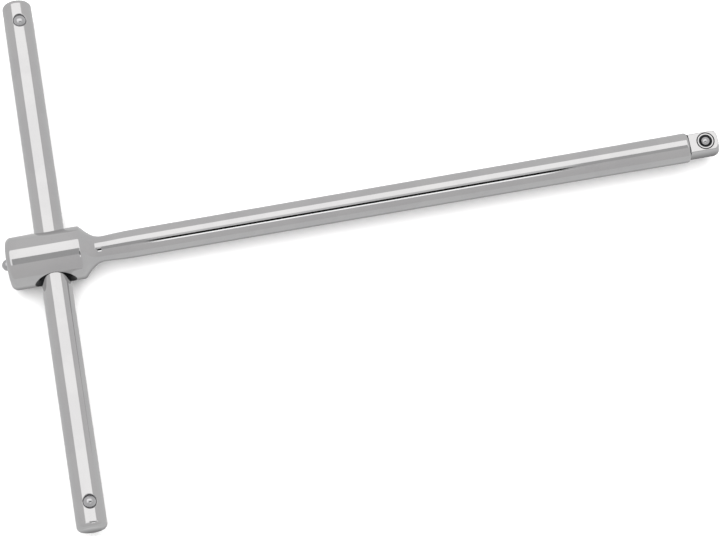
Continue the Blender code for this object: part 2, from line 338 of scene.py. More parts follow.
class Axis:
    """A turning axis: a point on it, its direction, and two directions to count turns from."""

    def __init__(self, origin, along, first, second):
        self.origin = np.asarray(origin, float)
        self.along = np.asarray(along, float)
        self.first = np.asarray(first, float)
        self.second = np.asarray(second, float)

    def points(self, place, radius, turn):
        """Origin + place along the axis + radius times the direction at that turn, in metres."""
        place, radius, turn = np.broadcast_arrays(place, radius, turn)
        return self.origin + MM * self.vectors(place, radius, turn)

    def vectors(self, place, radius, turn):
        """The same sum without the origin, which also turns a profile's normal into a surface's."""
        place, radius, turn = np.broadcast_arrays(place, radius, turn)
        out = np.cos(turn)[..., None] * self.first + np.sin(turn)[..., None] * self.second
        return place[..., None] * self.along + radius[..., None] * out


X, Y, Z = np.eye(3)
SHANK = Axis(BAR_AXIS, X, Y, Z)
BORE = Axis(BAR_AXIS, Y, Z, X)
bar_turn = math.radians(BAR_TURN)
BALL_SIDE = math.sin(bar_turn) * X + math.cos(bar_turn) * Z
BAR_SIDE = math.cos(bar_turn) * X - math.sin(bar_turn) * Z
BAR = Axis(BAR_AXIS, Y, BALL_SIDE, BAR_SIDE)
DRIVE_HOLE = Axis(BAR_AXIS + MM * DRIVE_BALL_PLACE * X, Z, X, Y)


def bar_hole_axis(side):
    """The axis of a ball's hole in the bar, at the +Y or the -Y end."""
    return Axis(BAR_AXIS + MM * side * BAR_BALL_PLACE * Y, BALL_SIDE, BAR_SIDE, Y)


print("the bar's balls look along", np.round(BALL_SIDE, 3))


# %% [markdown]
# ## Profiles
#
# A profile is drawn the way a lathe cuts it: straight stretches and arcs. Each point carries the
# direction that is square to the cut, which becomes the surface's normal once it is turned.

# %% Profiles


def straight(start, end, count, side=1.0):
    """Points from start to end, all with the normal to the left of the way they run (side = 1)."""
    start, end = np.array(start, float), np.array(end, float)
    share = np.linspace(0, 1, count)[:, None]
    run = (end - start) / np.linalg.norm(end - start)
    normal = side * np.array([-run[1], run[0]])
    return np.hstack([start + share * (end - start), np.tile(normal, (count, 1))])


def arc(centre, radius, first, last, count, hollow=False):
    """Points on an arc from one angle to another, in degrees. A hollow arc's normals point inwards."""
    angle = np.radians(np.linspace(first, last, count))
    out = np.column_stack([np.cos(angle), np.sin(angle)])
    return np.hstack([np.array(centre) + radius * out, -out if hollow else out])


def joined(*stretches):
    """Stretches that run on smoothly into each other, as one profile."""
    parts = [stretches[0]] + [s[1:] for s in stretches[1:]]
    return np.vstack(parts)


sample = joined(straight((0, 1), (2, 1), 3), arc((2, 0), 1, 90, 0, 5))
print(f"a rod's end as a profile: {len(sample)} points, the last normal {np.round(sample[-1, 2:], 2)}")


# %% [markdown]
# ## Patches, and how they become one closed mesh
#
# A grid patch is rows of a profile by columns of turns. Where a hole passes through it, a block of
# its cells is left out, and a ring patch fills the block up to the hole's rim: each ring is a blend,
# in the surface's own place and turn, between the block's border and the rim, so every point still
# lies exactly on the surface.

# %% A body of patches


class Body:
    """Collects patches and welds them into one mesh with exact normals."""

    def __init__(self):
        self.points, self.normals, self.faces, self.finish = [], [], [], []
        self.count = 0

    def add(self, points, normals, closed, keep=None, finish=0):
        """A patch of rows by columns. closed joins its last column to its first; keep marks cells kept."""
        rows, columns = points.shape[:2]
        index = self.count + np.arange(rows * columns).reshape(rows, columns)
        if closed:
            index = np.hstack([index, index[:, :1]])
        cells = np.stack([index[:-1, :-1], index[1:, :-1], index[1:, 1:], index[:-1, 1:]], axis=-1)
        faces = cells.reshape(-1, 4) if keep is None else cells[keep]
        self.points.append(points.reshape(-1, 3))
        self.normals.append(normals.reshape(-1, 3))
        self.faces.append(faces)
        self.finish.append(np.full(len(faces), finish))
        self.count += rows * columns

    def turned(self, axis, profile, turns, rim_first=None, rim_last=None, keep=None, finish=0):
        """A profile (place, radius and the normal's two parts) carried round an axis."""
        place, radius, along, out = (profile[:, i, None] for i in range(4))
        points = axis.points(place, radius, turns[None, :])
        normals = axis.vectors(along, out, turns[None, :])
        if rim_first is not None:
            points[0] = rim_first
        if rim_last is not None:
            points[-1] = rim_last
        self.add(points, normals, True, keep, finish)
        return points

    def band(self, loop_a, normals_a, loop_b, normals_b, rows=2, finish=0):
        """A strip from one closed loop of points to another, its normals turning with it."""
        share = np.linspace(0, 1, rows)[:, None, None]
        points = loop_a + share * (loop_b - loop_a)
        normals = normals_a + share * (normals_b - normals_a)
        points[-1] = loop_b
        self.add(points, normals, True, None, finish)

    def mesh(self, name, finishes):
        """Welds equal points, drops collapsed cells, turns every face outwards and sets the exact normals."""
        points = np.vstack(self.points)
        normals = np.vstack(self.normals)
        faces = np.vstack(self.faces)
        finish = np.concatenate(self.finish)
        _, first, same = np.unique(
            np.round(points * 1e8 + 0.3).astype(np.int64), axis=0, return_index=True, return_inverse=True
        )
        same = same.reshape(-1)
        solid = points[first]
        corner = solid[same[faces]]
        square_to = np.cross(corner[:, 2] - corner[:, 0], corner[:, 3] - corner[:, 1])
        flip = np.einsum("ij,ij->i", square_to, normals[faces].sum(axis=1)) < 0
        faces[flip] = faces[flip][:, ::-1]
        welded = same[faces]
        repeat = welded == np.roll(welded, -1, axis=1)
        quads = repeat.sum(axis=1) == 0
        folded = repeat.sum(axis=1) == 1
        drop = np.argmax(repeat[folded], axis=1)
        stay = np.arange(4)[None, :] != drop[:, None]
        thin = faces[folded][stay].reshape(-1, 3)
        corners = np.concatenate([faces[quads].reshape(-1), thin.reshape(-1)])
        starts = np.concatenate([np.arange(quads.sum()) * 4, quads.sum() * 4 + np.arange(len(thin)) * 3])
        mesh = bpy.data.meshes.new(name)
        mesh.vertices.add(len(solid))
        mesh.vertices.foreach_set("co", solid.astype(np.float32).reshape(-1))
        mesh.loops.add(len(corners))
        mesh.loops.foreach_set("vertex_index", same[corners].astype(np.int32))
        mesh.polygons.add(len(starts))
        mesh.polygons.foreach_set("loop_start", starts.astype(np.int32))
        mesh.polygons.foreach_set(
            "material_index", np.concatenate([finish[quads], finish[folded]]).astype(np.int32)
        )
        mesh.update(calc_edges=True)
        for finish_material in finishes:
            mesh.materials.append(finish_material)
        mesh.shade_smooth()
        directions = normals[corners]
        directions = directions / np.linalg.norm(directions, axis=1, keepdims=True)
        mesh.normals_split_custom_set(directions.tolist())
        kept = welded[quads | folded]
        pairs = [np.stack([kept[:, i], kept[:, (i + 1) % 4]], 1) for i in range(4)]
        edges = np.sort(np.concatenate(pairs), axis=1)
        edges = edges[edges[:, 0] != edges[:, 1]]
        _, uses = np.unique(edges, axis=0, return_counts=True)
        print(f"{name}: {len(starts)} faces, {(uses != 2).sum()} edges not shared by two faces")
        return mesh


# %% Blocks left out for holes


def block_loop(rows, columns):
    """A block's border, as (row, column) pairs once round. rows and columns are first and last."""
    (r0, r1), (c0, c1) = rows, columns
    down, across = np.arange(r0, r1), np.arange(c0, c1)
    row = np.concatenate([np.full(c1 - c0, r0), down, np.full(c1 - c0, r1), down[::-1] + 1])
    column = np.concatenate([across, np.full(r1 - r0, c1), across[::-1] + 1, np.full(r1 - r0, c0)])
    return np.column_stack([row, column])


def kept_cells(shape, blocks):
    """Which cells of a grid closed round its columns stay when these blocks are left out."""
    keep = np.ones(shape, bool)
    for (r0, r1), (c0, c1) in blocks:
        keep[r0:r1, np.arange(c0, c1) % shape[1]] = False
    return keep


print("border of a 2 by 3 block:", len(block_loop((0, 2), (0, 3))), "points")

# %% Finished pieces


def piece(name, mesh, body, node):
    """A finished piece: shown in place of its CAD node, and moving with the CAD body."""
    made = bpy.data.objects.new(name, mesh)
    scene.collection.objects.link(made)
    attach(made, body)
    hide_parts(node)
    print(f"{name} stands in for {node} and moves with {body}")
    return made


# %% [markdown]
# ## Shader groups that several finishes share
#
# New chrome isn't featureless: the plating has a faint ripple, polishing leaves hair-fine lines, and
# hands leave patches that are a shade less glossy. Each effect is a node group that puts out a value.
# The Principled shader stays in the material itself, where its plain numbers are set on its sockets.

# %% Node helpers


def group(name, inputs, outputs):
    """An empty shader group with named float inputs (name: default) and outputs (name: socket type)."""
    tree = bpy.data.node_groups.new(name, "ShaderNodeTree")
    for label, default in inputs.items():
        socket = tree.interface.new_socket(label, in_out="INPUT", socket_type="NodeSocketFloat")
        socket.default_value = default
    for label, kind in outputs.items():
        tree.interface.new_socket(label, in_out="OUTPUT", socket_type=kind)
    return tree, tree.nodes.new("NodeGroupInput"), tree.nodes.new("NodeGroupOutput")


def node(tree, kind, values=None, **settings):
    """A node with its settings and some of its inputs filled in. A value may be another node's output."""
    made = tree.nodes.new(kind)
    for key, value in settings.items():
        setattr(made, key, value)
    for key, value in (values or {}).items():
        if isinstance(value, bpy.types.NodeSocket):
            tree.links.new(value, made.inputs[key])
        else:
            made.inputs[key].default_value = value
    return made


def math_node(tree, operation, a, b=0.0, c=0.0):
    """The result of one sum on values or outputs."""
    made = node(tree, "ShaderNodeMath", {0: a, 1: b, 2: c}, operation=operation)
    return made.outputs[0]


def noise(tree, vector, scale, detail=2.0, roughness=0.5):
    """Cloudy noise between 0 and 1 at each point of a vector field."""
    values = {"Vector": vector, "Scale": scale, "Detail": detail, "Roughness": roughness}
    return node(tree, "ShaderNodeTexNoise", values).outputs["Fac"]


print("helpers for shader trees are ready")

# %% Polishing lines: noise drawn out along the lines, so that it reads as fine scratches
polish_tree, polish_in, polish_out = group(
    "polishing_lines",
    {"Fineness": 900.0, "Stretch X": 1.0, "Stretch Y": 1.0, "Stretch Z": 1.0},
    {"Lines": "NodeSocketFloat"},
)
coordinates = node(polish_tree, "ShaderNodeTexCoord").outputs["Object"]
stretch = node(
    polish_tree,
    "ShaderNodeCombineXYZ",
    {axis: polish_in.outputs[f"Stretch {axis}"] for axis in "XYZ"},
).outputs[0]
stretched = node(
    polish_tree, "ShaderNodeVectorMath", {0: coordinates, 1: stretch}, operation="MULTIPLY"
).outputs[0]
lines = noise(polish_tree, stretched, polish_in.outputs["Fineness"], 3.0, 0.6)
polish_tree.links.new(lines, polish_out.inputs["Lines"])

# %% Handling: slow, soft-edged noise
handling_tree, handling_in, handling_out = group(
    "handling_marks",
    {"Size": 60.0, "Low": 0.42, "High": 0.62},
    {"Marks": "NodeSocketFloat"},
)
coordinates = node(handling_tree, "ShaderNodeTexCoord").outputs["Object"]
cloud = noise(handling_tree, coordinates, handling_in.outputs["Size"], 4.0, 0.55)
marks = node(
    handling_tree,
    "ShaderNodeMapRange",
    {"Value": cloud, "From Min": handling_in.outputs["Low"], "From Max": handling_in.outputs["High"]},
    interpolation_type="SMOOTHSTEP",
).outputs[0]
handling_tree.links.new(marks, handling_out.inputs["Marks"])
print("shader groups:", ", ".join(g.name for g in bpy.data.node_groups))

# %% [markdown]
# ## Metals
#
# All five metals share one recipe: a base colour that shifts very slightly with handling, a roughness
# that rises a little along polishing lines and on handled patches, and a bump far finer than the eye
# can resolve that only breaks up the edge of a reflection. The ground balls are the smoothest, then
# the chrome. The coils are drawn wire. The near-black steel is painted shade: it keeps the bores,
# recesses and grooves dark, as shade would.

# %% Metal recipe


def metal(name, colour, shade, roughness, spread, stretch_by, fineness, bump, marks_size=60.0):
    """A metal whose colour runs between two shades, and whose gloss varies with lines and handling."""
    made = bpy.data.materials.new(name)
    made.use_nodes = True
    tree = made.node_tree
    shader = tree.nodes["Principled BSDF"]
    shader.inputs["Metallic"].default_value = 1.0
    polish = node(tree, "ShaderNodeGroup", node_tree=polish_tree)
    polish.inputs["Fineness"].default_value = fineness
    for axis, value in zip("XYZ", stretch_by):
        polish.inputs[f"Stretch {axis}"].default_value = value
    handled = node(tree, "ShaderNodeGroup", node_tree=handling_tree)
    handled.inputs["Size"].default_value = marks_size
    values = {0: handled.outputs["Marks"], 6: (*colour, 1.0), 7: (*shade, 1.0)}
    tint = node(tree, "ShaderNodeMix", values, data_type="RGBA").outputs[2]
    tree.links.new(tint, shader.inputs["Base Color"])
    gloss = math_node(tree, "MULTIPLY_ADD", polish.outputs["Lines"], spread, roughness - spread / 2)
    gloss = math_node(tree, "MULTIPLY_ADD", handled.outputs["Marks"], spread * 0.5, gloss)
    tree.links.new(gloss, shader.inputs["Roughness"])
    values = {"Height": polish.outputs["Lines"], "Strength": 1.0, "Distance": bump}
    ripple = node(tree, "ShaderNodeBump", values)
    tree.links.new(ripple.outputs["Normal"], shader.inputs["Normal"])
    print(f"{name}: roughness {roughness - spread / 2:.3f} to {roughness + spread:.3f}")
    return made


# %% The five metals
CHROME = ((0.585, 0.583, 0.585), (0.565, 0.563, 0.567))
BALL = ((0.55, 0.55, 0.56), (0.50, 0.50, 0.51))
WIRE = ((0.34, 0.33, 0.32), (0.24, 0.235, 0.23))
# The near-black steel is painted shade, for the bores, holes, recesses, grooves and the square's root.
PAINTED_SHADE_STEEL = ((0.030, 0.032, 0.035), (0.018, 0.019, 0.021))
chrome_shank = metal("chrome_shank", *CHROME, 0.06, 0.03, (0.04, 1, 1), 2600.0, 2e-8)
chrome_bar = metal("chrome_bar", *CHROME, 0.06, 0.03, (1, 0.04, 1), 2600.0, 2e-8)
ball_steel = metal("ball_steel", *BALL, 0.03, 0.02, (1, 1, 0.3), 3000.0, 2e-8)
wire_steel = metal("wire_steel", *WIRE, 0.32, 0.12, (1, 1, 1), 4000.0, 2e-7)
painted_shade_steel = metal("painted_shade_steel", *PAINTED_SHADE_STEEL, 0.42, 0.1, (1, 1, 1), 2500.0, 2e-7)

# %% [markdown]
# ## Shank: hub, taper, neck and shaft
#
# This is one forging, turned all over, so its outside is one profile carried round the shank's axis.
# Three holes pass through it. The cross bore meets the hub in a saddle-shaped rim, found by solving
# for the point, at each turn round the bore, that lies on both surfaces. A cone opens each mouth.

# %% Profile of the shank
COLUMNS = 128
TURNS = 2 * math.pi * np.arange(COLUMNS) / COLUMNS
HUB_HOLE_RADIUS = 3.45
HUB_MOUTH_RADIUS = 2.8
HUB_LIP_RADIUS = 2.75
BLOCK_REACH = 11.6
BLOCK_ROWS = 16
NECK_PLACE = CREASE_PLACE + NECK_FILLET * math.sin(math.radians(CREASE_ANGLES[1]))
SHAFT_END = SHOULDER - SHOULDER_ROUND


def shaft_radius(past):
    """A bell-shaped flare at each end, plus a slight taper that goes on from the neck to the shoulder."""
    flare = FLARE * (1 - np.exp(-((past / FLARE_LENGTH) ** 2)))
    left = SHAFT_END - NECK_PLACE - past
    end_flare = END_FLARE * np.exp(-((left / END_FLARE_LENGTH) ** 2))
    return NECK_RADIUS + flare + SHAFT_TAPER * past + end_flare


def shaft_stretch(count):
    """The shaft's profile, its normal square to the radius's slope. Stations crowd towards both flares."""
    share = np.linspace(0, 1, count)
    past = (SHAFT_END - NECK_PLACE) * (0.5 - 0.5 * np.cos(math.pi * share)) ** 1.2
    nudge = 0.01
    slope = (shaft_radius(past + nudge) - shaft_radius(past - nudge)) / (2 * nudge)
    normal = np.column_stack([-slope, np.ones(count)]) / np.sqrt(1 + slope**2)[:, None]
    return np.hstack([np.column_stack([NECK_PLACE + past, shaft_radius(past)]), normal])


# %% Taper and neck, worked out from the crease where their fillets meet
into, out_of = (math.radians(angle) for angle in CREASE_ANGLES)
crease_radius = NECK_RADIUS + NECK_FILLET * (1 - math.cos(out_of))
fillet_middle = CREASE_PLACE + TAPER_FILLET * math.sin(into)
fillet_centre = (fillet_middle, crease_radius + TAPER_FILLET * math.cos(into))
fillet_angles = (270 - TAPER_ANGLE, 270 - CREASE_ANGLES[0])
taper_fillet = arc(fillet_centre, TAPER_FILLET, *fillet_angles, 12, hollow=True)
corner_angle = math.radians(90.0 - TAPER_ANGLE)
corner_radius = HUB_RADIUS - HUB_CORNER_ROUND
taper_top = corner_radius + HUB_CORNER_ROUND * math.sin(corner_angle)
taper_run = (taper_top - taper_fillet[0, 1]) / math.tan(math.radians(TAPER_ANGLE))
HUB_CORNER = taper_fillet[0, 0] - taper_run - HUB_CORNER_ROUND * math.cos(corner_angle)
hub_corner = arc((HUB_CORNER, corner_radius), HUB_CORNER_ROUND, 90, 90 - TAPER_ANGLE, 10)
taper = straight(hub_corner[-1, :2], taper_fillet[0, :2], 4)
neck_centre = (NECK_PLACE, NECK_RADIUS + NECK_FILLET)
neck_fillet = arc(neck_centre, NECK_FILLET, 270 - CREASE_ANGLES[1], 270, 10, hollow=True)
shaft = shaft_stretch(64)
print(f"neck {NECK_PLACE:.2f} mm from the bar's axis, shaft end {shaft[-1, 1]:.2f} mm out")

# %% Hub
end_face = straight((HUB_END, HUB_MOUTH_RADIUS + EDGE_BREAK), (HUB_END, HUB_RADIUS - HUB_END_ROUND), 6)
end_round = arc((HUB_END + HUB_END_ROUND, HUB_RADIUS - HUB_END_ROUND), HUB_END_ROUND, 180, 90, 16)
hub_wall = joined(
    straight((HUB_END + HUB_END_ROUND, HUB_RADIUS), (-BLOCK_REACH, HUB_RADIUS), 5),
    straight((-BLOCK_REACH, HUB_RADIUS), (BLOCK_REACH, HUB_RADIUS), BLOCK_ROWS + 1),
    straight((BLOCK_REACH, HUB_RADIUS), (HUB_CORNER, HUB_RADIUS), 2),
)
hub_profile = joined(end_face, end_round, hub_wall, hub_corner, taper, taper_fillet)
shaft_profile = joined(neck_fillet, shaft)
print(f"hub: {len(hub_profile)} rows, its corner {HUB_CORNER:.2f} mm from the bar's axis")

# %% The cross bore's rims


def solve(found_at_low, low, high):
    """The value between low and high where a rising function passes zero: halving, for whole arrays."""
    low, high = np.array(low, float), np.array(high, float)
    for _ in range(60):
        middle = (low + high) / 2
        below = found_at_low(middle) < 0
        low, high = np.where(below, middle, low), np.where(below, high, middle)
    return (low + high) / 2


MOUTH_SLOPE = (MOUTH_RADIUS - BORE_RADIUS) / MOUTH_DEPTH
MOUTH_FLOOR = HUB_RADIUS - MOUTH_DEPTH


def mouth_radius(place, extra=0.0):
    """The cross bore's radius at a place along it: the bore, then the cone of the mouth."""
    return BORE_RADIUS + extra + MOUTH_SLOPE * np.maximum(np.abs(place) - MOUTH_FLOOR + extra * 0.5, 0.0)


def mouth_rim(turns, extra=0.0):
    """How far along the bore its wall, `extra` wider, meets the hub at each turn."""

    def outside_hub(place):
        return place**2 + (mouth_radius(place, extra) * np.cos(turns)) ** 2 - HUB_RADIUS**2

    return solve(outside_hub, np.full(len(turns), 8.0), np.full(len(turns), 12.8))


def ring_fill(body, axis, radius_at, border, rim, rings, finish=0):
    """Rings on a surface of one radius, from a block's border to a rim, blending place and turn."""
    share = (np.linspace(0, 1, rings) ** 0.8)[:, None]
    place = border[:, 0] + share * (rim[:, 0] - border[:, 0])
    turn = border[:, 1] + share * (rim[:, 1] - border[:, 1])
    points = axis.points(place, radius_at, turn)
    normals = axis.vectors(np.zeros_like(place), np.ones_like(place), turn)
    body.add(points, normals, True, None, finish)
    return points[-1]


ends = mouth_rim(np.array([0.0, math.pi / 2]))
print(f"the bore meets the hub {ends[0]:.2f} to {ends[1]:.2f} mm from the shank's axis")

# %% The hub's outside
shank = Body()
block_first = int(np.argmin(np.hypot(hub_profile[:, 0] + BLOCK_REACH, hub_profile[:, 1] - HUB_RADIUS)))
block_rows = (block_first, block_first + BLOCK_ROWS)
half_columns = 16
near_columns = (-half_columns, half_columns)
far_columns = (COLUMNS // 2 - half_columns, COLUMNS // 2 + half_columns)
mouth_blocks = [(block_rows, near_columns), (block_rows, far_columns)]
hub_keep = kept_cells((len(hub_profile) - 1, COLUMNS), mouth_blocks)
shank.turned(SHANK, hub_profile, TURNS, keep=hub_keep)
print(f"hub: {hub_keep.sum()} cells kept of {hub_keep.size}")

# %% The square's border, which the shaft's end must meet column by column
flat_columns, round_columns = 24, 8
flat_half = SQUARE_HALF - SQUARE_CORNER_ROUND


def square_section():
    """Points round the square, from the middle of its +Y flat: flats and quarter-round corners."""
    steps = np.linspace(-1, 1, flat_columns + 1)
    bend = np.radians(np.linspace(0, 90, round_columns + 1))
    sides, normals = [], []
    for quarter in range(4):
        heading = quarter * math.pi / 2
        out = np.array([math.cos(heading), math.sin(heading)])
        across = np.array([-out[1], out[0]])
        flat = SQUARE_HALF * out + flat_half * steps[:, None] * across
        sides.append(flat[:-1])
        normals.append(np.tile(out, (flat_columns, 1)))
        centre = flat_half * (out + across)
        arm = np.cos(bend)[:, None] * out + np.sin(bend)[:, None] * across
        sides.append(centre + SQUARE_CORNER_ROUND * arm[:-1])
        normals.append(arm[:-1])
    start = flat_columns // 2
    return np.roll(np.vstack(sides), -start, axis=0), np.roll(np.vstack(normals), -start, axis=0)


section, section_normals = square_section()
section_turn = np.unwrap(np.arctan2(section[:, 1], section[:, 0]))
section_radius = np.hypot(section[:, 0], section[:, 1])
print(f"square: {len(section)} columns, {2 * SQUARE_HALF:.3f} mm across flats")

# %% Neck and shaft
# The columns are evenly spaced round the neck, and drift to the square's own columns along the shaft.
drift = np.clip((shaft_profile[:, 0] - NECK_PLACE - 20) / (SHAFT_END - NECK_PLACE - 40), 0, 1)
drift = (drift**2 * (3 - 2 * drift))[:, None]
column_turn = TURNS[None, :] + drift * (section_turn - TURNS)[None, :]
place, radius, along, out = (shaft_profile[:, i, None] for i in range(4))
shank.add(SHANK.points(place, radius, column_turn), SHANK.vectors(along, out, column_turn), True)
print(f"neck and shaft: {len(shaft_profile)} rows of {COLUMNS} columns")

# %% The mouths of the cross bore
mouth_border = block_loop(block_rows, near_columns)
border_place = hub_profile[mouth_border[:, 0], 0]
border_turn = 2 * math.pi * mouth_border[:, 1] / COLUMNS
bore_turn = np.arctan2(border_place, HUB_RADIUS * np.sin(border_turn))
bore_turn = np.unwrap(bore_turn)
wide_place = mouth_rim(bore_turn, EDGE_BREAK)
wide_radius = mouth_radius(wide_place, EDGE_BREAK)
rim_place = mouth_rim(bore_turn) - EDGE_BREAK
rim_radius = mouth_radius(rim_place)
in_cone = rim_place > MOUTH_FLOOR
cone_normal = np.array([MOUTH_SLOPE, -1.0]) / math.hypot(MOUTH_SLOPE, 1.0)
floor_place = np.minimum(rim_place, MOUTH_FLOOR)


def cross_mouth(side):
    """One mouth of the cross bore, on the +Y or -Y side: hub surface, broken edge and cone."""
    turned_z = wide_radius * np.cos(bore_turn)
    rim_turn = np.arcsin(turned_z / HUB_RADIUS)
    hub_turn = border_turn if side > 0 else math.pi - border_turn
    rim_hub_turn = rim_turn if side > 0 else math.pi - rim_turn
    border = np.column_stack([border_place, hub_turn])
    rim = np.column_stack([wide_radius * np.sin(bore_turn), rim_hub_turn])
    outer = ring_fill(shank, SHANK, HUB_RADIUS, border, rim, 9)
    outer_normal = SHANK.vectors(0.0, 1.0, rim_hub_turn)
    inner = BORE.points(side * rim_place, rim_radius, bore_turn)
    cone = BORE.vectors(side * cone_normal[0], cone_normal[1], bore_turn)
    wall = BORE.vectors(0.0, -1.0, bore_turn)
    inner_normal = np.where(in_cone[:, None], cone, wall)
    shank.band(outer, outer_normal, inner, inner_normal, 4)
    foot = BORE.points(side * floor_place, BORE_RADIUS, bore_turn)
    foot[~in_cone] = inner[~in_cone]
    # The cone inside the mouth takes the near-black steel: painted shade in the mouth.
    shank.band(inner, cone, foot, cone, 4, finish=1)
    return foot


plus_foot = cross_mouth(1)
minus_foot = cross_mouth(-1)
print(f"mouths: {MOUTH_DEPTH} mm deep, {2 * MOUTH_RADIUS:.0f} mm across")

# %% The bore's wall, with the friction ball's hole in it
FRICTION_BLOCK = 4.0
FRICTION_REACH = 12
FRICTION_ROWS = 40
block_places = np.linspace(-FRICTION_BLOCK, FRICTION_BLOCK, FRICTION_ROWS + 1)[:, None]
lead = np.array([[0.0], [0.35], [0.7]])
rows = np.vstack(
    [
        -floor_place + lead * (-FRICTION_BLOCK + floor_place),
        block_places + 0 * floor_place,
        floor_place - lead[::-1] * (floor_place - FRICTION_BLOCK),
    ]
)
wall_points = BORE.points(rows, BORE_RADIUS, bore_turn[None, :])
wall_points[0], wall_points[-1] = minus_foot, plus_foot
inwards = BORE.vectors(np.zeros_like(rows), -1.0, bore_turn[None, :])
hole_columns = (half_columns - FRICTION_REACH, half_columns + FRICTION_REACH)
friction_block = ((len(lead), len(lead) + FRICTION_ROWS), hole_columns)
wall_keep = kept_cells((len(rows) - 1, len(bore_turn)), [friction_block])
# The bore's wall takes the near-black steel: painted shade inside the bore.
shank.add(wall_points, inwards, True, wall_keep, finish=1)

# %% From the bore's wall to the friction ball's hole
loop = block_loop(*friction_block)
loop_place = rows[loop[:, 0], loop[:, 1]]
loop_turn = bore_turn[loop[:, 1]]
facing_end = np.arctan2(BORE_RADIUS * np.cos(loop_turn), loop_place)
order = np.argsort(np.mod(facing_end + 1e-6, 2 * math.pi))
loop_place, loop_turn, facing_end = loop_place[order], loop_turn[order], facing_end[order]
facing_end = np.mod(facing_end + 1e-6, 2 * math.pi) - 1e-6
lip_place = HUB_LIP_RADIUS * np.cos(facing_end)
lip_turn = -math.pi / 2 + np.arcsin(HUB_LIP_RADIUS * np.sin(facing_end) / BORE_RADIUS)
share = np.linspace(0, 1, 5)[:, None]
fill_place = loop_place + share * (lip_place - loop_place)
fill_turn = loop_turn + share * (lip_turn - loop_turn)
fill = BORE.points(fill_place, BORE_RADIUS, fill_turn)
shank.add(fill, BORE.vectors(np.zeros_like(fill_place), -1.0, fill_turn), True, None, 1)
print(f"bore's wall: {wall_keep.sum()} cells kept, {len(loop)} points round the ball's hole")

# %% The hole from the bore to the hub's end, which the plug closes
lip_start = FRICTION_BALL_PLACE + 0.8
lip_end = lip_start + 0.6
peen_start, peen_end = HUB_END + 0.9, HUB_END + 0.65
hole = joined(
    straight((lip_end, HUB_LIP_RADIUS), (lip_start, HUB_HOLE_RADIUS), 3),
    straight((lip_start, HUB_HOLE_RADIUS), (peen_start, HUB_HOLE_RADIUS), 10),
    straight((peen_start, HUB_HOLE_RADIUS), (peen_end, HUB_MOUTH_RADIUS), 2),
    straight((peen_end, HUB_MOUTH_RADIUS), (HUB_END + EDGE_BREAK, HUB_MOUTH_RADIUS), 2),
)
lip_inner = SHANK.points(lip_end, HUB_LIP_RADIUS, facing_end)
to_axis = SHANK.vectors(0.0, -1.0, facing_end)
shank.band(fill[-1], to_axis, lip_inner, to_axis, 2, finish=1)
settle = np.linspace(0, 1, len(hole))[:, None]
hole_turn = facing_end + settle * (TURNS - facing_end)
place, radius, along, out = (hole[:, i, None] for i in range(4))
hole_points = SHANK.points(place, radius, hole_turn)
shank.add(hole_points, SHANK.vectors(along, out, hole_turn), True, None, 1)
end_rim = SHANK.points(HUB_END, HUB_MOUTH_RADIUS + EDGE_BREAK, TURNS)
shank.band(hole_points[-1], SHANK.vectors(0.0, -1.0, TURNS), end_rim, np.tile(-X, (COLUMNS, 1)), 3)
print(f"hub hole: {len(facing_end)} columns, lip {2 * HUB_LIP_RADIUS:.1f} mm across")

# %% [markdown]
# ## Shank: shoulder, square and tip
#
# Behind the square the shaft ends in a rounded shoulder, and the square's tip is turned to a round
# too. Both are turned surfaces cut off where they meet the square's four flats, so the crease is a
# wavy line: each column round the square runs along the turned arc until the arc is as far out as
# the square is there. Squares are ground after that, which leaves their edges slightly broken. A
# narrow strip at the square's root gets the near-black steel: a painted shade line in the inside
# corner.

# %% Shoulder
shoulder_out = shaft[-1, 1] - SHOULDER_ROUND
shoulder_stop = np.arcsin(np.clip((section_radius - shoulder_out) / SHOULDER_ROUND, 0.0, 1.0))
shoulder_place = SHAFT_END + SHOULDER_ROUND * np.cos(shoulder_stop)
swing = np.linspace(0, 1, 15)[:, None]
swing = math.pi / 2 + swing * (shoulder_stop - math.pi / 2)
shoulder_points = SHANK.points(
    SHAFT_END + SHOULDER_ROUND * np.cos(swing), shoulder_out + SHOULDER_ROUND * np.sin(swing), section_turn
)
shoulder_normals = SHANK.vectors(np.cos(swing), np.sin(swing), section_turn)
shank.add(shoulder_points, shoulder_normals, True)
square_root = SHANK.points(shoulder_place, section_radius, section_turn)
square_root = np.where((section_radius < shoulder_out)[:, None], square_root, shoulder_points[-1])
facing_tip = np.tile(X, (COLUMNS, 1))
shank.band(shoulder_points[-1], facing_tip, square_root, facing_tip)

print(f"shoulder: {shoulder_out:.2f} mm out to the foot of its round")

# %% Square
SQUARE_ROWS = 24
TIP_BREAK = 0.15
tip_stop = np.arcsin((section_radius - TIP_DISC_RADIUS) / TIP_ROUND) - TIP_BREAK / TIP_ROUND
tip_place = TIP - TIP_ROUND + np.sqrt(TIP_ROUND**2 - (section_radius - TIP_DISC_RADIUS) ** 2) - TIP_BREAK
share = np.linspace(0, 1, SQUARE_ROWS + 1)[:, None]
root_place = shoulder_place + ROOT_SHADE_WIDTH
flat_place = root_place + share * (tip_place - root_place)
across = section[:, 0, None] * Y + section[:, 1, None] * Z
square_points = BAR_AXIS + MM * (flat_place[..., None] * X + across)
square_points[0] = square_root + MM * ROOT_SHADE_WIDTH * X
square_normals = section_normals[:, 0, None] * Y + section_normals[:, 1, None] * Z
square_normals = np.broadcast_to(square_normals, square_points.shape)
top_first = flat_columns // 2 + round_columns
top_block = ((0, SQUARE_ROWS), (top_first, top_first + flat_columns))
square_keep = kept_cells((SQUARE_ROWS, COLUMNS), [top_block])
shank.add(square_points, square_normals, True, square_keep)
# A strip of painted shade, in the near-black steel, along the square's root.
shank.band(square_root, square_normals[0], square_points[0], square_normals[0], finish=1)

print(f"square from {shoulder_place.min():.2f} to {tip_place.max():.2f} mm from the bar's axis")

